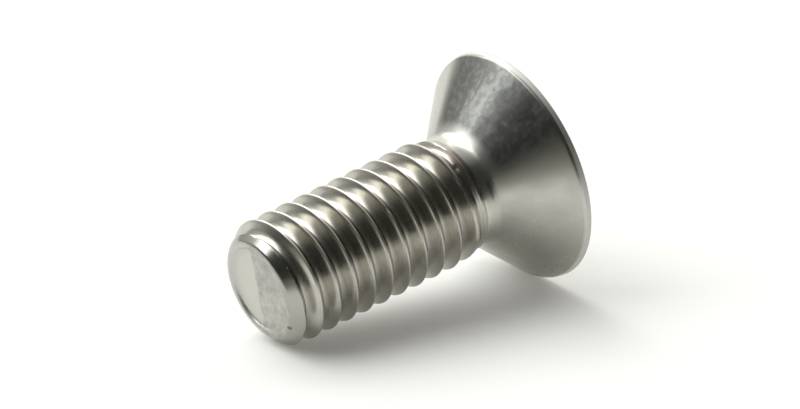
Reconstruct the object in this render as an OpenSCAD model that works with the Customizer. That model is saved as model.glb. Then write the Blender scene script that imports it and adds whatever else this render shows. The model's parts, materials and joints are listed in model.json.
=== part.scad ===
// Countersunk machine screw with a cross recess, lying on its side as it comes to rest.
// It is drawn upright first, with the tip's end face at height 0 and the head on top.

/* [Overall] */
// Length from the tip's end face to the top of the head, as countersunk screws are measured
screw_len = 12; // [10:0.5:40]

/* [Thread] */
// Diameter over the crests
crest_d = 4.9; // [4.1:0.05:5.9]
// Distance along the axis from one crest to the next
pitch = 0.8; // [0.65:0.05:1]
// Width of the flat along the top of a crest
crest_flat = 0.15; // [0.1:0.01:0.2]
// Width of the groove's bottom, between its two corners
root_flat = 0.14; // [0.1:0.01:0.2]
// How far the middle of the bottom is hollowed below its corners
root_hollow = 0.03; // [0.01:0.01:0.05]
// Angle between the two flanks of the groove
flank_angle = 60; // [50:1:66]
// Where a crest stands one pitch above the end face, turned from the side the screw lies on
crest_turn = 140; // [0:5:355]
// Length over which the thread fades into the neck
runout_len = 0.9; // [0.7:0.1:2]

/* [Tip] */
// How far the rim of the end face lies inside the crests
tip_step = 0.62; // [0.5:0.02:0.8]
// Angle of the chamfer, measured from the end face
tip_angle = 45; // [35:1:55]
// Width of the flat rim round the end face
tip_rim_w = 0.04; // [0.02:0.01:0.1]
// Width of the slope from the rim down to the sunk floor
cup_slope_w = 0.34; // [0.2:0.02:0.6]
// Depth of the sunk floor below the rim
cup_depth = 0.1; // [0.04:0.02:0.2]

/* [Neck] */
// How far the plain neck lies inside the crests
neck_step = 0.25; // [0.2:0.01:0.32]
// Plain length between the end of the thread and the fillet under the head
neck_len = 0.2; // [0.1:0.05:3]
// Radius of the fillet between the neck and the cone
neck_fillet = 0.5; // [0.2:0.05:0.8]

/* [Head] */
// Diameter over the rim
head_d = 9.1; // [7.6:0.1:11]
// Full angle of the cone
cone_angle = 90; // [80:1:96]
// Height of the rim above the cone
rim_h = 0.26; // [0.22:0.02:0.8]
// Radius on the rim's lower edge
rim_shoulder = 0.2; // [0.05:0.05:0.3]
// Radius on the rim's upper edge
rim_edge = 0.12; // [0.04:0.02:0.14]

/* [Cross recess] */
// Length across two opposite wings at the top of the head
recess_d = 5.2; // [4.4:0.1:6.2]
// Length across two opposite wings at their lower ends
recess_floor_d = 2.3; // [1.8:0.1:2.7]
// Depth of the wings' lower ends
recess_depth = 2.5; // [1.8:0.1:3]
// Width of a wing at the top of the head
wing_w = 1.25; // [1:0.05:1.5]
// Width of a wing at the bottom of the recess
wing_floor_w = 0.8; // [0.6:0.05:0.9]
// Diameter of the round core where the wings cross, at the top of the head
core_d = 2.3; // [1.9:0.1:2.7]
// Diameter of the core at the bottom of the recess
core_floor_d = 0.96; // [0.9:0.02:1.1]
// Depth of the pointed bottom below the wings' lower ends
point_h = 0.4; // [0.2:0.05:0.6]

/* [Hidden] */

// How far a cut runs past the face that it opens
over = 0.1;
// Steps of the groove in one turn
turn_steps = 36;
// Fineness of a full turn, and of the small arcs in the outline
turn_fn = 96;
arc_fn = 48;

crest_r = crest_d / 2;
flank_slope = tan(flank_angle / 2);
thread_h = (pitch - crest_flat - root_flat) / 2 / flank_slope;
root_r = crest_r - thread_h - root_hollow;
tip_r = crest_r - tip_step;
cup_r = tip_r - tip_rim_w;
floor_r = cup_r - cup_slope_w;
neck_r = crest_r - neck_step;
head_r = head_d / 2;
chamfer_slope = 1 / tan(tip_angle);
cone_slope = tan(cone_angle / 2);

// Heights along the screw
chamfer_z = tip_step / chamfer_slope;
rim_z = screw_len - rim_h;
cone_z = rim_z - (head_r - neck_r) / cone_slope;
fillet_len = neck_fillet * tan((180 - cone_angle) / 4);
thread_end_z = cone_z - fillet_len - neck_len;
full_thread_z = thread_end_z - runout_len;

// The shoulder's arc is tangent to the rim and to the cone
shoulder_len = rim_shoulder * tan((180 - cone_angle) / 4);
shoulder_z = rim_z + shoulder_len;
shoulder_r = head_r - rim_shoulder;

// Crest over the side that the screw lies on: its height for turn n, and where it touches
function crest_z(n) = pitch * (n + 1 - crest_turn / 360);
function touch_z(n) =
    let (side_z = crest_z(n) + crest_flat / 2 + tip_step * flank_slope)
    let (cut_z = side_z / (1 + chamfer_slope * flank_slope))
    cut_z < chamfer_z ? cut_z : max(chamfer_z, crest_z(n) - crest_flat / 2);
function touch_r(z) = min(crest_r, tip_r + z * chamfer_slope);

// Tilt at which a level surface touches the head's shoulder and a crest near the tip
function tilt_at(z, r) =
    let (dz = shoulder_z - z, dr = shoulder_r - r)
    atan2(dr, dz) + asin(rim_shoulder / norm([dz, dr]));
rest_tilt = min([for (n = [0:2]) tilt_at(touch_z(n), touch_r(touch_z(n)))]);

// Reach of the lying screw: lowest point, and the two ends
low_z = shoulder_z * sin(rest_tilt) - shoulder_r * cos(rest_tilt) - rim_shoulder;
tip_x = -tip_r * sin(rest_tilt);
edge_x = (screw_len - rim_edge) * cos(rest_tilt) + (head_r - rim_edge) * sin(rest_tilt);
head_x = edge_x + rim_edge;

// Half outline of the screw before threading: radius across, height up
module blank_profile() {
    along_cone = [sin(cone_angle / 2), cos(cone_angle / 2)];
    difference() {
        union() {
            polygon([
                [0, cup_depth],
                [floor_r, cup_depth],
                [cup_r, 0],
                [tip_r, 0],
                [crest_r, chamfer_z],
                [crest_r, full_thread_z],
                [neck_r, thread_end_z],
                [neck_r, cone_z - fillet_len],
                [neck_r, cone_z] + fillet_len * along_cone,
                [head_r, rim_z] - shoulder_len * along_cone,
                [head_r, shoulder_z],
                [head_r, screw_len - rim_edge],
                [head_r - rim_edge, screw_len],
                [0, screw_len]
            ]);
            translate([shoulder_r, shoulder_z]) circle(r = rim_shoulder, $fn = arc_fn);
            translate([head_r - rim_edge, screw_len - rim_edge]) circle(r = rim_edge, $fn = arc_fn);
        }
        translate([neck_r + neck_fillet, cone_z - fillet_len]) circle(r = neck_fillet, $fn = arc_fn);
    }
}

// One section of the thread's groove, radius across and height up, with its lowest point at radius r
function groove_section(r, z) =
    let (corner_r = r + root_hollow, out_r = crest_r + over)
    let (out_half = root_flat / 2 + (out_r - corner_r) * flank_slope)
    [
        [out_r, z - out_half],
        [corner_r, z - root_flat / 2],
        [r, z],
        [corner_r, z + root_flat / 2],
        [out_r, z + out_half]
    ];

// Lowest radius of the groove at height z: full depth, then rising out of the neck
function root_at(z) =
    let (fade = max(0, min(1, (z - full_thread_z) / runout_len)))
    root_r + fade * (neck_r - root_r);

// Turn at which the middle of the groove is at height z
function groove_turn(z) = z / pitch - 1 / 2 + crest_turn / 360;

// Right-hand helical groove, as one closed skin round its sections
module thread_groove() {
    first = floor(turn_steps * groove_turn(-pitch / 2 - over));
    last = floor(turn_steps * groove_turn(thread_end_z));
    sections = [
        for (i = [first:last])
            let (turn = i / turn_steps, z = crest_z(turn) - pitch / 2)
            [for (p = groove_section(root_at(z), z))
                [p[0] * cos(360 * turn), p[0] * sin(360 * turn), p[1]]]
    ];
    sides = len(sections[0]);
    top = (len(sections) - 1) * sides;
    skin = [
        for (i = [0:len(sections) - 2], k = [0:sides - 1])
            let (a = i * sides + k, b = i * sides + (k + 1) % sides)
            each [[a, b + sides, b], [a, a + sides, b + sides]]
    ];
    ends = [for (k = [1:sides - 2]) each [[0, k, k + 1], [top, top + k + 1, top + k]]];
    polyhedron([for (section = sections, p = section) p], concat(skin, ends));
}

// Slab with a wing's two sloping flanks, from the bottom of the recess up through its mouth
module wing_slab() {
    bottom = recess_depth + point_h;
    half_top = wing_w / 2 + (wing_w - wing_floor_w) / 2 / bottom * over;
    rotate([90, 0, 0])
        linear_extrude(2 * recess_d, center = true)
            polygon([
                [-wing_floor_w / 2, -bottom],
                [wing_floor_w / 2, -bottom],
                [half_top, over],
                [-half_top, over]
            ]);
}

// Cross-shaped driver recess, with its mouth at height 0
module cross_recess() {
    bottom = recess_depth + point_h;
    reach = recess_d / 2 + (recess_d - recess_floor_d) / 2 / recess_depth * over;
    core_reach = core_d + (core_d - core_floor_d) / bottom * over;
    intersection() {
        rotate_extrude($fn = turn_fn)
            polygon([[0, -bottom], [recess_floor_d / 2, -recess_depth], [reach, over], [0, over]]);
        union() {
            for (turn = [45, 135])
                rotate(turn) wing_slab();
            translate([0, 0, -bottom])
                cylinder(h = bottom + over, d1 = core_floor_d, d2 = core_reach, $fn = turn_fn);
        }
    }
}

module upright_screw() {
    difference() {
        rotate_extrude($fn = turn_fn) blank_profile();
        thread_groove();
        translate([0, 0, screw_len]) cross_recess();
    }
}

module screw() {
    color("silver")
        translate([-(tip_x + head_x) / 2, 0, -low_z])
            rotate([0, 90 - rest_tilt, 0])
                upright_screw();
}

screw();
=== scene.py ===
# Countersunk machine screw, bright steel, lying on a pale table in soft light
import json
import math

import bmesh
import bpy
from mathutils import Matrix, Vector


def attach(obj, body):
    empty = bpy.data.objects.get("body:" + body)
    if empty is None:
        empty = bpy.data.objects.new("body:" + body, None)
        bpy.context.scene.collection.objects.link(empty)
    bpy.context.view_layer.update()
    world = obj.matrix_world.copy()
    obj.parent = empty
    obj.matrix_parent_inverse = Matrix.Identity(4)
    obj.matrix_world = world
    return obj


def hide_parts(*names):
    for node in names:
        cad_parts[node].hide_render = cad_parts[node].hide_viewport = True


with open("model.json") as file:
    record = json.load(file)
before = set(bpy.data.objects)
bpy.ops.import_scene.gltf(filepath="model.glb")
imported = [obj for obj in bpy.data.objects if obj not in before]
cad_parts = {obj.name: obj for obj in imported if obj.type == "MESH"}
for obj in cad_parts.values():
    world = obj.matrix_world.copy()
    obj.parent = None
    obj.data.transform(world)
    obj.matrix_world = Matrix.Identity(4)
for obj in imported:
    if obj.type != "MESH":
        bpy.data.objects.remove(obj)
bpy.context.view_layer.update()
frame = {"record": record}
print("frame loaded")

# sizes in millimetres, upright, with the tip's end face at height 0 and the head on top
screwSizes = {
    "length": 12.0,
    "crestRadius": 2.44,
    "pitch": 0.8,
    "crestFlat": 0.06,
    "rootFlat": 0.20,
    "rootHollow": 0.03,
    "flankAngle": 60.0,
    "crestTurn": 140.0,  # degrees from the side it lies on to a crest one pitch above the tip
    "crestBlend": 0.045,  # how far the crests and roots are rounded off
    "rootBlend": 0.26,
    "runout": 0.9,
    "tipStep": 0.562,  # how much narrower the end face is than the crests
    "tipRound": 0.1,  # the chamfer's worn edge
    "tipRim": 0.04,  # flat top of the lip
    "tipLip": 0.18,  # its steep inner side
    "lipDepth": 0.12,
    "cupSlope": 0.22,
    "cupDepth": 0.14,
    "neckStep": 0.24,  # how much narrower the neck is than the crests
    "neckLength": 0.2,
    "neckSeam": 0.05,  # where the turned head takes over, above the end of the thread
    "neckFillet": 0.5,
    "headRadius": 4.55,
    "rimHeight": 0.26,
    "rimTaper": 0.06,
    "rimShoulder": 0.12,
    "rimEdge": 0.08,
    "turnSteps": 144,
    "threadSteps": 24,  # across one pitch
    "lipSteps": 6,
    "slopeSteps": 5,
    "cupRings": (0.7, 0.35),  # shares of the cup's floor radius
    "coneCuts": 10,
    "edgeSteps": 6,
    "filletSteps": 8,
    "spareTurns": 3,  # turns below the tip and past the run-out, cut off again
    "softEdge": 0.03,  # rounding where the thread meets the chamfer
    "weld": 0.002,
    "sharpAngle": 28.0,  # edges bent more than this stay crisp
}

# cross recess, in millimetres below the top of the head
recessSizes = {
    "mouth": 5.2,
    "floor": 2.3,
    "depth": 2.5,
    "point": 0.4,
    "wing": 1.25,
    "wingFloor": 0.8,
    "core": 2.3,
    "coreFloor": 0.96,
    "above": 0.1,  # how far the cutter stands out of the head
    "land": 0.9,  # flat ring left round the mouth
    "turnSteps": 96,
    "coreSteps": 64,
}

# small dents in the thread, in upright millimetres
nicks = [
    {"place": (-1.747, -1.717, 4.98), "radius": 0.13, "depth": 0.035},
    {"place": (-1.74, -1.25, 8.57), "radius": 0.12, "depth": 0.03},
]

millimetre = 0.001


def readPose():
    # how the upright screw lies: its tilt, and where the tip's centre comes
    seat = next(m for m in frame["record"]["mounts"] if m["name"] == "head_top")
    axis = Vector(seat["axis"]).normalized()
    drive = next(m for m in frame["record"]["mounts"] if m["name"] == "drive")
    tip = Vector(drive["pos_m"]) - axis * screwSizes["length"] * millimetre
    return axis, tip


def lyingMatrix(axis, tip):
    side = Vector((0.0, 1.0, 0.0))
    down = side.cross(axis)
    turn = Matrix((down, side, axis)).transposed().to_4x4()
    return Matrix.Translation(tip) @ turn @ Matrix.Scale(millimetre, 4)


def cornerReach(radius):
    # how far a rounding of this radius reaches along each side of a 45 degree corner
    return radius * math.tan(math.radians(22.5))


def wire(points):
    # a chain of edges in the XZ plane: radius across, height up
    bm = bmesh.new()
    verts = [bm.verts.new((radius, 0.0, height)) for radius, height in points]
    for first, second in zip(verts, verts[1:]):
        bm.edges.new((first, second))
    return bm, verts


def roundCorner(bm, point, reach, steps):
    # rounds the outline's corner at this point, over this reach either side
    touching = 1e-4
    near = [v for v in bm.verts if math.dist((v.co.x, v.co.z), point) < touching]
    bmesh.ops.bevel(bm, geom=near, offset=reach, segments=steps, profile=0.5,
                    affect="VERTICES", material=-1)


def smoothMin(first, second, width):
    blend = max(width - abs(first - second), 0.0) / width
    return min(first, second) - blend * blend * width / 4.0


def threadRadius(fromCrest):
    # radius of the rolled thread at this distance from the middle of a crest, along the screw
    s = screwSizes
    slope = math.tan(math.radians(s["flankAngle"] / 2))
    deep = (s["pitch"] - s["crestFlat"] - s["rootFlat"]) / 2 / slope
    root = s["crestRadius"] - deep - s["rootHollow"]
    flank = s["crestRadius"] - (abs(fromCrest) - s["crestFlat"] / 2) / slope
    return -smoothMin(-root, -smoothMin(s["crestRadius"], flank, s["crestBlend"]), s["rootBlend"])


def spinThread():
    # one pitch of the rolled thread, swept up the screw, then cut to the chamfer and the run-out
    s = screwSizes
    half = s["pitch"] / 2
    heights = [-half + s["pitch"] * k / s["threadSteps"] for k in range(s["threadSteps"] + 1)]
    bm, verts = wire([(threadRadius(height), height) for height in heights])
    root = threadRadius(half)
    neck = s["crestRadius"] - s["neckStep"]
    tip = s["crestRadius"] - s["tipStep"]
    rimZ = s["length"] - s["rimHeight"]
    coneZ = rimZ - (s["headRadius"] - neck)
    threadEnd = coneZ - cornerReach(s["neckFillet"]) - s["neckLength"]
    fullEnd = threadEnd - s["runout"]
    turns = math.ceil(threadEnd / s["pitch"]) + s["spareTurns"]
    crestZ = -s["pitch"] * (1 + s["crestTurn"] / 360)
    bmesh.ops.translate(bm, verts=bm.verts, vec=(0.0, 0.0, crestZ))
    bmesh.ops.spin(bm, geom=bm.verts[:] + bm.edges[:], cent=(0, 0, 0), axis=(0, 0, 1),
                   dvec=(0, 0, s["pitch"] / s["turnSteps"]), angle=2 * math.pi,
                   steps=s["turnSteps"], use_merge=False)
    oneTurn = bm.verts[:] + bm.edges[:] + bm.faces[:]
    for turn in range(1, turns):
        copied = bmesh.ops.duplicate(bm, geom=oneTurn)["geom"]
        bmesh.ops.translate(bm, verts=[v for v in copied if isinstance(v, bmesh.types.BMVert)],
                            vec=(0.0, 0.0, turn * s["pitch"]))
    bmesh.ops.remove_doubles(bm, verts=bm.verts, dist=s["weld"])
    for vert in bm.verts:
        radius = math.hypot(vert.co.x, vert.co.y)
        past = (vert.co.z - fullEnd) / s["runout"]
        rise = max(0.0, past) * (neck - root)
        chamfer = tip + max(vert.co.z, 0.0)
        fade = max(neck, s["crestRadius"] - past * s["neckStep"])
        wanted = smoothMin(radius + rise, min(chamfer, fade), s["softEdge"])
        vert.co.x *= wanted / radius
        vert.co.y *= wanted / radius
    for nick in nicks:
        middle = Vector(nick["place"])
        for vert in bm.verts:
            apart = (vert.co - middle).length / nick["radius"]
            if apart < 1:
                inward = Vector((-vert.co.x, -vert.co.y, 0.0)).normalized()
                vert.co += inward * nick["depth"] * (1 - apart * apart)
    topZ = threadEnd + s["neckSeam"]
    for planeZ, normal in ((s["tipRound"] * math.sin(math.radians(45)), -1), (topZ, 1)):
        bmesh.ops.bisect_plane(bm, geom=bm.verts[:] + bm.edges[:] + bm.faces[:], dist=s["weld"] / 4,
                               plane_co=(0, 0, planeZ), plane_no=(0, 0, normal), clear_outer=True)
    bmesh.ops.remove_doubles(bm, verts=bm.verts, dist=s["weld"])
    return bm, tip, neck, coneZ, rimZ, topZ


def edgesAt(bm, height):
    # the open edges at this height
    near = 2 * screwSizes["weld"]
    return [e for e in bm.edges if e.is_boundary and all(abs(v.co.z - height) < near for v in e.verts)]


def ring(bm, edges, scale, lift):
    # extrudes a loop of edges, scales it about the screw's axis and lifts it
    made = bmesh.ops.extrude_edge_only(bm, edges=edges)["geom"]
    verts = [v for v in made if isinstance(v, bmesh.types.BMVert)]
    bmesh.ops.scale(bm, verts=verts, vec=(scale, scale, 1.0))
    bmesh.ops.translate(bm, verts=verts, vec=(0.0, 0.0, lift))
    return [e for e in made if isinstance(e, bmesh.types.BMEdge)]


def closeTip(bm, tip):
    # worn edge, lip, slope and sunk floor of the end face
    s = screwSizes
    bend = s["tipRound"] / cornerReach(1.0)
    flat = tip - s["tipRound"]
    stations = []  # radius and height, from the chamfer in to the middle
    for degrees in range(45, -1, -9):
        angle = math.radians(degrees)
        stations.append((flat + bend * math.sin(angle), bend * (1 - math.cos(angle))))
    stations.append((flat - s["tipRim"], 0.0))

    def easeIn(width, depth, steps):
        startRadius, startDepth = stations[-1]
        for k in range(1, steps + 1):
            share = k / steps
            eased = share * share * (3 - 2 * share)
            stations.append((startRadius - width * share, startDepth + depth * eased))

    easeIn(s["tipLip"], s["lipDepth"], s["lipSteps"])
    easeIn(s["cupSlope"], s["cupDepth"] - s["lipDepth"], s["slopeSteps"])
    inner = stations[-1][0]
    stations.extend((inner * share, s["cupDepth"]) for share in s["cupRings"])
    radius, height = stations[0]
    edges = edgesAt(bm, height)
    for nextRadius, nextHeight in stations[1:]:
        edges = ring(bm, edges, nextRadius / radius, nextHeight - height)
        radius, height = nextRadius, nextHeight
    verts = list({v for e in edges for v in e.verts})
    bmesh.ops.pointmerge(bm, verts=verts, merge_co=(0, 0, s["cupDepth"]))


def spinHead(bm, neck, coneZ, rimZ, topZ):
    # neck, cone, rim and flat top, turned from one outline
    s = screwSizes
    shoulder = (s["headRadius"] - s["rimTaper"], rimZ - s["rimTaper"])
    outline, verts = wire([
        (neck, topZ),
        (neck, coneZ),
        shoulder,
        (s["headRadius"], s["length"]),
        (recessSizes["mouth"] / 2 + recessSizes["land"], s["length"]),
        (0.0, s["length"]),
    ])
    cone = outline.edges.get((verts[1], verts[2]))
    bmesh.ops.subdivide_edges(outline, edges=[cone], cuts=s["coneCuts"])
    roundCorner(outline, (s["headRadius"], s["length"]), s["rimEdge"], s["edgeSteps"])
    roundCorner(outline, shoulder, cornerReach(s["rimShoulder"]), s["edgeSteps"])
    roundCorner(outline, (neck, coneZ), cornerReach(s["neckFillet"]), s["filletSteps"])
    bmesh.ops.spin(outline, geom=outline.verts[:] + outline.edges[:], cent=(0, 0, 0), axis=(0, 0, 1),
                   angle=2 * math.pi, steps=s["turnSteps"], use_merge=True)
    bmesh.ops.remove_doubles(outline, verts=outline.verts, dist=s["weld"])
    mesh = bpy.data.meshes.new("head")
    outline.to_mesh(mesh)
    bm.from_mesh(mesh)
    bpy.data.meshes.remove(mesh)
    bmesh.ops.bridge_loops(bm, edges=edgesAt(bm, topZ))


def objectFrom(bm, name):
    mesh = bpy.data.meshes.new(name)
    bm.to_mesh(mesh)
    bm.free()
    made = bpy.data.objects.new(name, mesh)
    bpy.context.scene.collection.objects.link(made)
    return made


def combine(base, tool, operation):
    # applies a boolean with another object, which is then removed
    cut = base.modifiers.new("combine", "BOOLEAN")
    cut.object = tool
    cut.operation = operation
    cut.solver = "MANIFOLD"
    graph = bpy.context.evaluated_depsgraph_get()
    mesh = bpy.data.meshes.new_from_object(base.evaluated_get(graph))
    base.modifiers.clear()
    old = base.data
    base.data = mesh
    bpy.data.meshes.remove(old)
    bpy.data.objects.remove(tool)


def recessRadius(below):
    # how far the recess reaches from the axis, this far below the top of the head
    r = recessSizes
    return (r["mouth"] - (r["mouth"] - r["floor"]) * below / r["depth"]) / 2


def recessCutter():
    # cross-shaped punch: two tapered wings and a round core, inside a pointed cone
    r = recessSizes
    top = screwSizes["length"]
    bottom = r["depth"] + r["point"]
    tall = bottom + r["above"]

    def widthAt(low, high, above):
        # carries the taper on above the head
        return high + (high - low) / bottom * above

    parts = []
    for turn in (45, 135):
        bm = bmesh.new()
        bmesh.ops.create_cube(bm, size=1.0)
        bmesh.ops.scale(bm, verts=bm.verts, vec=(2 * r["mouth"], 1.0, tall))
        for end, width in ((-1, r["wingFloor"]), (1, widthAt(r["wingFloor"], r["wing"], r["above"]))):
            ended = [v for v in bm.verts if v.co.z * end > 0]
            bmesh.ops.scale(bm, verts=ended, vec=(1.0, width, 1.0))
        turned = Matrix.Rotation(math.radians(turn), 3, "Z")
        bmesh.ops.rotate(bm, verts=bm.verts, cent=(0, 0, 0), matrix=turned)
        bmesh.ops.translate(bm, verts=bm.verts, vec=(0, 0, top + r["above"] - tall / 2))
        parts.append(objectFrom(bm, "wing"))
    bm = bmesh.new()
    bmesh.ops.create_cone(bm, cap_ends=True, segments=r["coreSteps"], radius1=r["coreFloor"] / 2,
                          radius2=widthAt(r["coreFloor"], r["core"], r["above"]) / 2, depth=tall)
    bmesh.ops.translate(bm, verts=bm.verts, vec=(0, 0, top + r["above"] - tall / 2))
    core = objectFrom(bm, "core")
    for part in parts:
        combine(core, part, "UNION")
    bm, verts = wire([(0.0, top - bottom), (r["floor"] / 2, top - r["depth"]),
                      (recessRadius(-r["above"]), top + r["above"]), (0.0, top + r["above"])])
    bmesh.ops.spin(bm, geom=bm.verts[:] + bm.edges[:], cent=(0, 0, 0), axis=(0, 0, 1),
                   angle=2 * math.pi, steps=r["turnSteps"], use_merge=True)
    bmesh.ops.remove_doubles(bm, verts=bm.verts, dist=screwSizes["weld"])
    bmesh.ops.recalc_face_normals(bm, faces=bm.faces)
    envelope = objectFrom(bm, "envelope")
    combine(core, envelope, "INTERSECT")
    return core


def buildScrew(axis, tip):
    bm, tipRadius, neck, coneZ, rimZ, topZ = spinThread()
    closeTip(bm, tipRadius)
    spinHead(bm, neck, coneZ, rimZ, topZ)
    bmesh.ops.recalc_face_normals(bm, faces=bm.faces)
    screw = objectFrom(bm, "machineScrew")
    print("thread and head turned:", len(screw.data.polygons), "faces")
    combine(screw, recessCutter(), "DIFFERENCE")
    print("recess cut")
    screw.data.materials.clear()
    groups = {"lines": makeTurnedLines(), "patches": makePatches(), "grain": makeGrain(),
              "shadeSpot": makeShadeSpot()}
    for name in steelLooks:
        screw.data.materials.append(makeSteel(name, groups, axis, tip))
    slots = {name: number for number, name in enumerate(steelLooks)}
    hair, nearWall = 0.001, 0.05  # allowances for telling the faces apart
    bm = bmesh.new()
    bm.from_mesh(screw.data)
    bmesh.ops.remove_doubles(bm, verts=bm.verts, dist=screwSizes["weld"] / 4)
    bm.normal_update()
    for face in bm.faces:
        face.smooth = True
        middle = face.calc_center_median()
        across = math.hypot(middle.x, middle.y)
        below = screwSizes["length"] - middle.z
        if middle.z > topZ + hair:
            inRecess = below > hair and across < recessRadius(below) + nearWall
            face.material_index = slots["punched" if inRecess else "headed"]
        elif middle.z < screwSizes["cupDepth"] + hair and across < tipRadius:
            face.material_index = slots["sheared"]
        else:
            face.material_index = slots["rolled"]
    for edge in bm.edges:
        edge.smooth = edge.calc_face_angle(0.0) < math.radians(screwSizes["sharpAngle"])
    print("open edges:", sum(not e.is_manifold for e in bm.edges))
    bmesh.ops.transform(bm, matrix=lyingMatrix(axis, tip), verts=bm.verts)
    bm.to_mesh(screw.data)
    bm.free()
    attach(screw, "root")
    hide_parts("screw")


# painted shade of a small pit beside the tip's edge, on the chamfer and on the end face
tipPitShade = {"middle": (1.01, -1.61, 0.075), "squeeze": 0.8, "reach": 0.13, "strength": 0.8,
          "color": (0.13, 0.11, 0.09)}

# looks of the steel, in millimetres and degrees on the upright screw; a zone is where an effect
# starts and where it is full, as a height or as a distance from the axis
steelLooks = {
    "rolled": {
        "light": (0.58, 0.567, 0.512), "dark": (0.49, 0.477, 0.43),
        "smooth": 0.22, "rough": 0.30, "wearRange": (0.2, 0.9), "lineWear": 0.6, "zoneWear": 0.5,
        "lines": 9.0, "lineLength": 1.6, "lineHeight": 0.0008,
        "patches": 1.6, "contrast": 2.2, "grain": 9.0, "grainHeight": 0.0,
        "root": (0.46, 0.448, 0.403), "rootZone": (2.16, 2.0), "crestZone": (2.34, 2.43),
        "chamfer": (0.41, 0.405, 0.37), "chamferZone": (0.7, 0.4), "chamferRoughness": 0.2,
        # painted shade, brownish, where the thread's groove runs out, and the tip's pit
        "shadeSpots": [{"middle": (-1.87, -0.97, 8.52), "squeeze": 1.0, "reach": 0.7, "strength": 0.7,
                     "color": (0.38, 0.335, 0.31)}, tipPitShade],
    },
    "headed": {
        "light": (0.55, 0.549, 0.508), "dark": (0.465, 0.463, 0.427),
        "smooth": 0.26, "rough": 0.33, "roughRange": (0.1, 0.9),
        "lines": 5.0, "lineLength": 1.2, "lineHeight": 0.0008,
        "patches": 1.1, "contrast": 1.6, "grain": 4.5, "grainHeight": 0.0008,
        "grainShare": 0.1, "grainRange": (0.2, 0.8),
        # painted shade on one side of the cone, a paler streak in it that is a painted highlight, and its
        # darkest painted shade
        "film": (0.235, 0.24, 0.23), "darkPaintedShade": (0.145, 0.148, 0.14), "filmRoughness": 0.36,
        "filmSide": 194, "filmInside": 36, "filmOutside": 50, "filmZone": (9.5, 9.9),
        "filmRim": (11.72, 11.64), "rimPaintedShade": 0.5, "filmTop": (11.98, 11.88),
        "gapSide": 184, "gapInside": 3, "gapOutside": 14, "gapZone": (11.7, 10.3), "gapStrength": 0.55,
        "deepSide": 208, "deepInside": 5, "deepOutside": 14, "deepStrength": 0.62,
        "deepestPaintedShade": (0.03, 0.031, 0.03), "ragged": 0.06,
        "streaks": 0.45, "streakWidth": 0.055, "streakShare": 0.4,
        "mottleRange": (0.35, 0.65), "mottleLow": -0.35, "mottleHigh": 0.7,
        "rim": (0.57, 0.57, 0.54), "rimRoughness": 0.55,
        "rimAcross": (4.45, 4.48), "rimZone": (11.75, 11.8),
        # painted shade, dark brown, in the seam round the neck
        "shadeSpots": [{"middle": (-0.75, -2.1, 9.33), "squeeze": 6.0, "reach": 0.55, "strength": 0.6,
                     "color": (0.17, 0.14, 0.12)}],
    },
    "sheared": {
        "light": (0.56, 0.555, 0.51), "dark": (0.34, 0.343, 0.33), "smooth": 0.34, "rough": 0.50,
        "lines": 3.0, "lineLength": 0.6, "lineHeight": 0.003,
        "patches": 2.6, "contrast": 2.4, "grain": 7.0, "grainHeight": 0.010,
        "smoothZone": (0.22, 0.36), "ragged": 0.12, "paleness": 0.9,
        "speckRange": (0.45, 0.3), "speckStrength": 0.5,
        "edge": (0.48, 0.48, 0.46), "edgeZone": (1.36, 1.52), "edgeStrength": 0.6,
        "shadeSpots": [tipPitShade],
    },
    "punched": {
        "light": (0.42, 0.415, 0.38), "dark": (0.30, 0.295, 0.27), "smooth": 0.26, "rough": 0.42,
        "lines": 7.0, "lineLength": 2.0, "lineHeight": 0.003,
        "patches": 2.0, "contrast": 2.4, "grain": 8.0, "grainHeight": 0.004,
        "shadeSpots": [],
    },
}


def direction(azimuth, elevation):
    az, el = math.radians(azimuth), math.radians(elevation)
    return Vector((math.cos(az) * math.cos(el), math.sin(az) * math.cos(el), math.sin(el)))


def addNode(tree, kind, links=None, **settings):
    # a node with its settings; links gives its inputs, as plain values or as other sockets
    node = tree.nodes.new("ShaderNode" + kind)
    for key, value in settings.items():
        setattr(node, key, value)
    for key, value in (links or {}).items():
        if isinstance(value, bpy.types.NodeSocket):
            tree.links.new(value, node.inputs[key])
        else:
            node.inputs[key].default_value = value
    return node


def calc(tree, operation, first, second=0.0):
    return addNode(tree, "Math", {0: first, 1: second}, operation=operation).outputs[0]


def times(tree, first, second):
    return calc(tree, "MULTIPLY", first, second)


def vectorMath(tree, operation, first, second):
    return addNode(tree, "VectorMath", {0: first, 1: second}, operation=operation)


def toward(tree, place, azimuth, elevation=0.0):
    # how far a place lies in one direction
    return vectorMath(tree, "DOT_PRODUCT", place, direction(azimuth, elevation)).outputs["Value"]


def acrossOf(tree, place):
    # distance from the screw's axis
    squares = [times(tree, place[key], place[key]) for key in ("X", "Y")]
    return calc(tree, "SQRT", calc(tree, "ADD", *squares))


def spread(tree, value, low, high, toLow=0.0, toHigh=1.0):
    # a soft step from one value to another, as the input goes from low to high
    node = addNode(tree, "MapRange", {"Value": value, "From Min": low, "From Max": high, "To Min": toLow,
                                      "To Max": toHigh}, interpolation_type="SMOOTHSTEP")
    return node.outputs["Result"]


def blendValue(tree, share, first, second):
    return addNode(tree, "Mix", {0: share, 2: first, 3: second}).outputs[0]


def blendColor(tree, share, first, second):
    # the colour sockets of a mix node come after those for numbers and vectors
    colors = [c if isinstance(c, bpy.types.NodeSocket) else (*c, 1.0) for c in (first, second)]
    return addNode(tree, "Mix", {0: share, 6: colors[0], 7: colors[1]}, data_type="RGBA").outputs[2]


def startGroup(name, inputs, outputs):
    # a new node group with named inputs and outputs
    tree = bpy.data.node_groups.new(name, "ShaderNodeTree")
    for label, kind in inputs:
        tree.interface.new_socket(label, in_out="INPUT", socket_type="NodeSocket" + kind)
    for label, kind in outputs:
        tree.interface.new_socket(label, in_out="OUTPUT", socket_type="NodeSocket" + kind)
    start = tree.nodes.new("NodeGroupInput")
    end = tree.nodes.new("NodeGroupOutput")
    return tree, start.outputs, end.inputs


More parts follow.
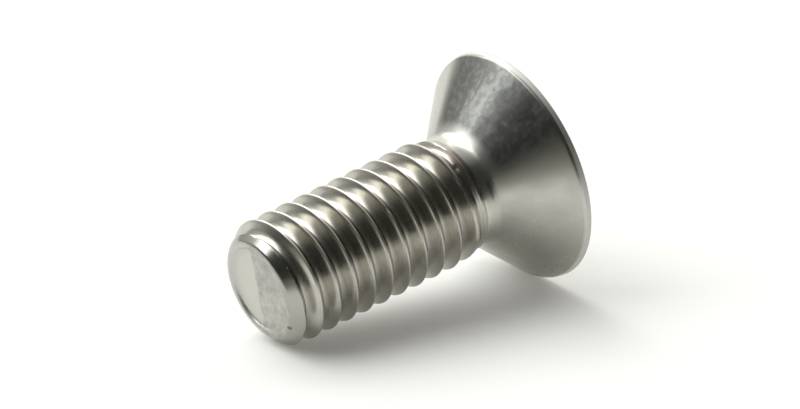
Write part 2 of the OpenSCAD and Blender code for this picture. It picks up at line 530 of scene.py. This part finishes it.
def makeTurnedLines():
    # fine lines round the axis, as rolling and turning leave them
    inputs = [("Place", "Vector"), ("Lines", "Float"), ("Length", "Float")]
    tree, start, end = startGroup("turnedLines", inputs, [("Height", "Float")])
    place = addNode(tree, "SeparateXYZ", {0: start["Place"]}).outputs
    across = acrossOf(tree, place)
    rate = calc(tree, "DIVIDE", 1.0, start["Length"])
    turnX, turnY = [times(tree, calc(tree, "DIVIDE", place[key], across), rate) for key in ("X", "Y")]
    along = times(tree, place["Z"], start["Lines"])
    out = times(tree, across, start["Lines"])
    where = addNode(tree, "CombineXYZ", {"X": turnX, "Y": turnY, "Z": along}).outputs[0]
    noise = {"Vector": where, "W": out, "Scale": 1.0, "Detail": 3.0, "Roughness": 0.6}
    lines = addNode(tree, "TexNoise", noise, noise_dimensions="4D")
    tree.links.new(lines.outputs["Fac"], end["Height"])
    return tree


def makePatches():
    # cloudy patches, from handling and from the die
    inputs = [("Place", "Vector"), ("Scale", "Float"), ("Contrast", "Float")]
    tree, start, end = startGroup("steelPatches", inputs, [("Mask", "Float")])
    noise = addNode(tree, "TexNoise", {"Vector": start["Place"], "Scale": start["Scale"], "Detail": 3.0,
                                       "Roughness": 0.6})
    steep = times(tree, calc(tree, "SUBTRACT", noise.outputs["Fac"], 0.5), start["Contrast"])
    shifted = addNode(tree, "Math", {0: steep, 1: 0.5}, operation="ADD", use_clamp=True)
    tree.links.new(shifted.outputs[0], end["Mask"])
    return tree


def makeGrain():
    # the finest roughness of the metal, as a height
    inputs = [("Place", "Vector"), ("Scale", "Float")]
    tree, start, end = startGroup("steelGrain", inputs, [("Height", "Float")])
    grain = addNode(tree, "TexNoise", {"Vector": start["Place"], "Scale": start["Scale"], "Detail": 2.0,
                                       "Roughness": 0.5})
    tree.links.new(grain.outputs["Fac"], end["Height"])
    return tree


def makeShadeSpot():
    # a soft patch of painted shade round one place, flattened along the screw, and even over its middle
    # part
    inputs = [("Place", "Vector"), ("Middle", "Vector"), ("Squeeze", "Float"), ("Reach", "Float")]
    tree, start, end = startGroup("steelShadeSpot", inputs, [("Mask", "Float")])
    apart = vectorMath(tree, "SUBTRACT", start["Place"], start["Middle"]).outputs[0]
    flat = addNode(tree, "CombineXYZ", {"X": 1.0, "Y": 1.0, "Z": start["Squeeze"]}).outputs[0]
    apart = vectorMath(tree, "MULTIPLY", apart, flat).outputs[0]
    length = addNode(tree, "VectorMath", {0: apart}, operation="LENGTH").outputs["Value"]
    evenPart = 0.45
    mask = spread(tree, calc(tree, "DIVIDE", length, start["Reach"]), 1.0, evenPart)
    tree.links.new(mask, end["Mask"])
    return tree


def useGroup(tree, group, links):
    return addNode(tree, "Group", links, node_tree=group).outputs[0]


def uprightPlace(tree, axis, tip):
    # object coordinates turned upright, in millimetres from the tip
    turn = lyingMatrix(axis, tip).inverted()
    coords = addNode(tree, "TexCoord").outputs["Object"]
    mapping = {"Vector": coords, "Location": turn.translation, "Rotation": turn.to_euler(),
               "Scale": turn.to_scale()}
    return addNode(tree, "Mapping", mapping).outputs["Vector"]


def makeSteel(name, groups, axis, tip):
    look = steelLooks[name]
    material = bpy.data.materials.new(name + "Steel")
    material.use_nodes = True
    tree = material.node_tree
    shader = tree.nodes["Principled BSDF"]
    shader.inputs["Metallic"].default_value = 1.0
    place = uprightPlace(tree, axis, tip)
    lines = useGroup(tree, groups["lines"], {"Place": place, "Lines": look["lines"],
                                             "Length": look["lineLength"]})
    patches = useGroup(tree, groups["patches"], {"Place": place, "Scale": look["patches"],
                                                 "Contrast": look["contrast"]})
    grain = useGroup(tree, groups["grain"], {"Place": place, "Scale": look["grain"]})
    stain = blendColor(tree, patches, look["dark"], look["light"])
    finish = steelFinishes[name]
    color, roughness = finish(tree, look, groups, place, stain, lines, patches, grain)
    # patches of painted shade
    for spot in look["shadeSpots"]:
        mask = useGroup(tree, groups["shadeSpot"], {"Place": place, "Middle": spot["middle"],
                                                 "Squeeze": spot["squeeze"], "Reach": spot["reach"]})
        color = blendColor(tree, times(tree, mask, spot["strength"]), color, spot["color"])
    height = calc(tree, "ADD", times(tree, lines, look["lineHeight"]),
                  times(tree, grain, look["grainHeight"]))
    bump = addNode(tree, "Bump", {"Height": height, "Distance": millimetre, "Strength": 1.0})
    tree.links.new(bump.outputs["Normal"], shader.inputs["Normal"])
    tree.links.new(color, shader.inputs["Base Color"])
    tree.links.new(roughness, shader.inputs["Roughness"])
    return material


def finishRolled(tree, look, groups, place, stain, lines, patches, grain):
    # bright flanks and crests, darker and rougher roots, and the turned chamfer
    parts = addNode(tree, "SeparateXYZ", {0: place}).outputs
    across = acrossOf(tree, parts)
    root = spread(tree, across, *look["rootZone"])
    color = blendColor(tree, root, stain, look["root"])
    chamfer = spread(tree, parts["Z"], *look["chamferZone"])
    color = blendColor(tree, chamfer, color, look["chamfer"])
    crest = spread(tree, across, *look["crestZone"])
    worn = calc(tree, "ADD", times(tree, lines, look["lineWear"]),
                times(tree, calc(tree, "ADD", root, crest), look["zoneWear"]))
    roughness = spread(tree, worn, *look["wearRange"], look["smooth"], look["rough"])
    return color, blendValue(tree, chamfer, roughness, look["chamferRoughness"])


def finishHeaded(tree, look, groups, place, stain, lines, patches, grain):
    # a cloudy surface, painted shade with the die's drag marks up one side of the cone, and a matt rim
    fine = spread(tree, grain, *look["grainRange"])
    mixed = calc(tree, "ADD", times(tree, patches, 1 - look["grainShare"]),
                 times(tree, fine, look["grainShare"]))
    parts = addNode(tree, "SeparateXYZ", {0: place}).outputs
    across = acrossOf(tree, parts)
    cloud = times(tree, calc(tree, "SUBTRACT", mixed, 0.5), look["ragged"])

    def sector(name):
        # one side of the screw, with a ragged edge
        facing = calc(tree, "DIVIDE", toward(tree, place, look[name + "Side"]), across)
        edges = [math.cos(math.radians(look[name + key])) for key in ("Outside", "Inside")]
        return spread(tree, calc(tree, "ADD", facing, cloud), *edges)

    # painted shade up one side of the cone, starting above the neck, weaker on the rim and gone at the top
    film = times(tree, sector("film"), spread(tree, parts["Z"], *look["filmZone"]))
    film = times(tree, film, spread(tree, parts["Z"], *look["filmRim"], look["rimPaintedShade"], 1.0))
    film = times(tree, film, spread(tree, parts["Z"], *look["filmTop"]))
    # a paler streak in the painted shade: a painted highlight
    gap = times(tree, sector("gap"), spread(tree, parts["Z"], *look["gapZone"]))
    streaks = useGroup(tree, groups["lines"], {"Place": place, "Lines": look["streaks"],
                                               "Length": look["streakWidth"]})
    mottle = calc(tree, "ADD", times(tree, streaks, look["streakShare"]),
                  times(tree, grain, 1 - look["streakShare"]))
    mottle = spread(tree, mottle, *look["mottleRange"], look["mottleLow"], look["mottleHigh"])
    paler = calc(tree, "ADD", mottle, times(tree, gap, look["gapStrength"]))
    paintedShadeColor = blendColor(tree, paler, look["darkPaintedShade"], look["film"])
    # the darkest painted shade, on one part of that side
    paintedShadeColor = blendColor(tree, times(tree, sector("deep"), look["deepStrength"]), paintedShadeColor, look["deepestPaintedShade"])
    color = blendColor(tree, film, blendColor(tree, mixed, look["dark"], look["light"]), paintedShadeColor)
    roughness = spread(tree, mixed, *look["roughRange"], look["rough"], look["smooth"])
    roughness = blendValue(tree, film, roughness, look["filmRoughness"])
    rim = times(tree, spread(tree, across, *look["rimAcross"]), spread(tree, parts["Z"], *look["rimZone"]))
    color = blendColor(tree, rim, color, look["rim"])
    return color, blendValue(tree, rim, roughness, look["rimRoughness"])


def finishSheared(tree, look, groups, place, stain, lines, patches, grain):
    # one half is smoother and paler, where the cut began
    parts = addNode(tree, "SeparateXYZ", {0: place}).outputs
    wavy = calc(tree, "ADD", parts["Y"], times(tree, patches, look["ragged"]))
    smoothHalf = spread(tree, wavy, *look["smoothZone"])
    specks = spread(tree, grain, *look["speckRange"], 0.0, look["speckStrength"])
    color = blendColor(tree, specks, stain, look["dark"])
    color = blendColor(tree, times(tree, smoothHalf, look["paleness"]), color, look["light"])
    edge = spread(tree, acrossOf(tree, parts), *look["edgeZone"], 0.0, look["edgeStrength"])
    color = blendColor(tree, times(tree, edge, smoothHalf), color, look["edge"])
    coarse = calc(tree, "SUBTRACT", patches, smoothHalf)
    return color, spread(tree, coarse, -1.0, 1.0, look["smooth"], look["rough"])


def finishPunched(tree, look, groups, place, stain, lines, patches, grain):
    # as the punch left it, with its stains
    return stain, spread(tree, patches, 0.0, 1.0, look["rough"], look["smooth"])


steelFinishes = {"rolled": finishRolled, "headed": finishHeaded, "sheared": finishSheared,
                 "punched": finishPunched}

axis, tip = readPose()
buildScrew(axis, tip)
print("screw built")

# the view, in degrees and millimetres: turned about the screw and raised above the table, then
# moved back from the tip, to the right and up
viewSizes = {
    "turn": 36.86,
    "raise": 21.15,
    "distance": 200.0,
    "right": 5.156,
    "up": 3.125,
    "lens": 248.0,
    "sensor": 36.0,
    "nearest": 0.01,  # metres
    "farthest": 20.0,
}


def setCamera(tip):
    v = viewSizes
    turn, lift = math.radians(v["turn"]), math.radians(v["raise"])
    right = Vector((math.cos(turn), -math.sin(turn), 0.0))
    back = Vector((-math.sin(turn) * math.cos(lift), -math.cos(turn) * math.cos(lift), math.sin(lift)))
    up = back.cross(right)
    data = bpy.data.cameras.new("camera")
    data.lens = v["lens"]
    data.sensor_width = v["sensor"]
    data.clip_start = v["nearest"]
    data.clip_end = v["farthest"]
    camera = bpy.data.objects.new("camera", data)
    bpy.context.scene.collection.objects.link(camera)
    place = tip + (right * v["right"] + up * v["up"] + back * v["distance"]) * millimetre
    facing = Matrix((right, up, back)).transposed().to_4x4()
    camera.matrix_world = Matrix.Translation(place) @ facing
    bpy.context.scene.camera = camera


# lights and table, in metres and degrees
studio = {
    "tableSize": 4.0,
    "tableColor": (0.83, 0.83, 0.825),
    "tableRoughness": 0.9,
    "tableGlow": 0.15,  # keeps the table white to the camera and in the steel
    # painted shade on the table, which shows in the steel's reflections only
    "shade": {"azimuth": -140, "from": 0.012, "to": 0.026, "color": (0.22, 0.215, 0.19)},
    "mainBox": {"azimuth": 123, "elevation": 50, "distance": 2.0, "width": 3.1, "height": 1.7,
                "radiance": 3.03, "color": (0.99, 0.995, 1.0)},
    # soft bright parts of the room: full inside one angle from their middle, gone outside the other
    "cloud": {"azimuth": 95, "elevation": 50, "inside": 25, "outside": 69, "radiance": 0.8},
    "wall": {"azimuth": 34, "elevation": 16, "inside": 32, "outside": 58, "radiance": 1.3},
    "roomRadiance": 0.04,
    "roomColor": (1.0, 0.99, 0.92),
}


def setStage():
    # the pale table
    bm = bmesh.new()
    bmesh.ops.create_grid(bm, x_segments=1, y_segments=1, size=studio["tableSize"])
    table = objectFrom(bm, "table")
    material = bpy.data.materials.new("paleTable")
    material.use_nodes = True
    tree = material.node_tree
    shader = tree.nodes["Principled BSDF"]
    shader.inputs["Roughness"].default_value = studio["tableRoughness"]
    shader.inputs["Specular IOR Level"].default_value = 0.0
    shader.inputs["Emission Color"].default_value = (*studio["roomColor"], 1.0)
    place = addNode(tree, "TexCoord").outputs["Object"]
    shade = studio["shade"]
    rays = addNode(tree, "LightPath").outputs
    # painted shade on the table, seen by glossy rays only
    shaded = spread(tree, toward(tree, place, shade["azimuth"]), shade["from"], shade["to"])
    shaded = times(tree, shaded, rays["Is Glossy Ray"])
    color = blendColor(tree, shaded, studio["tableColor"], shade["color"])
    tree.links.new(color, shader.inputs["Base Color"])
    mirrored = calc(tree, "MAXIMUM", rays["Is Glossy Ray"], rays["Is Transmission Ray"])
    seen = calc(tree, "MAXIMUM", rays["Is Camera Ray"], mirrored)
    glow = spread(tree, shaded, 0.0, 1.0, studio["tableGlow"], 0.0)
    tree.links.new(times(tree, seen, glow), shader.inputs["Emission Strength"])
    table.data.materials.append(material)


def softBox(name):
    # a large lamp that faces the screw
    box = studio[name]
    outward = direction(box["azimuth"], box["elevation"])
    data = bpy.data.lights.new(name, "AREA")
    data.shape = "RECTANGLE"
    data.size, data.size_y = box["width"], box["height"]
    data.energy = box["radiance"] * box["width"] * box["height"] * math.pi
    data.color = box["color"]
    lamp = bpy.data.objects.new(name, data)
    bpy.context.scene.collection.objects.link(lamp)
    lamp.rotation_euler = outward.to_track_quat("Z", "Y").to_euler()
    lamp.location = outward * box["distance"]
    lamp.visible_camera = False


def setRoom():
    # a dim room with a pale wall behind the screw and a large soft light above it
    world = bpy.data.worlds.new("studio")
    bpy.context.scene.world = world
    world.use_nodes = True
    tree = world.node_tree
    looking = addNode(tree, "TexCoord").outputs["Generated"]
    strength = studio["roomRadiance"]
    for name in ("wall", "cloud"):
        pale = studio[name]
        facing = toward(tree, looking, pale["azimuth"], pale["elevation"])
        edges = [math.cos(math.radians(pale[key])) for key in ("outside", "inside")]
        strength = calc(tree, "MAXIMUM", strength, spread(tree, facing, *edges, 0.0, pale["radiance"]))
    tree.links.new(strength, tree.nodes["Background"].inputs["Strength"])
    tree.nodes["Background"].inputs["Color"].default_value = (*studio["roomColor"], 1.0)


setCamera(tip)
setStage()
softBox("mainBox")
setRoom()
bpy.context.scene.view_settings.view_transform = "Standard"
print("stage set")
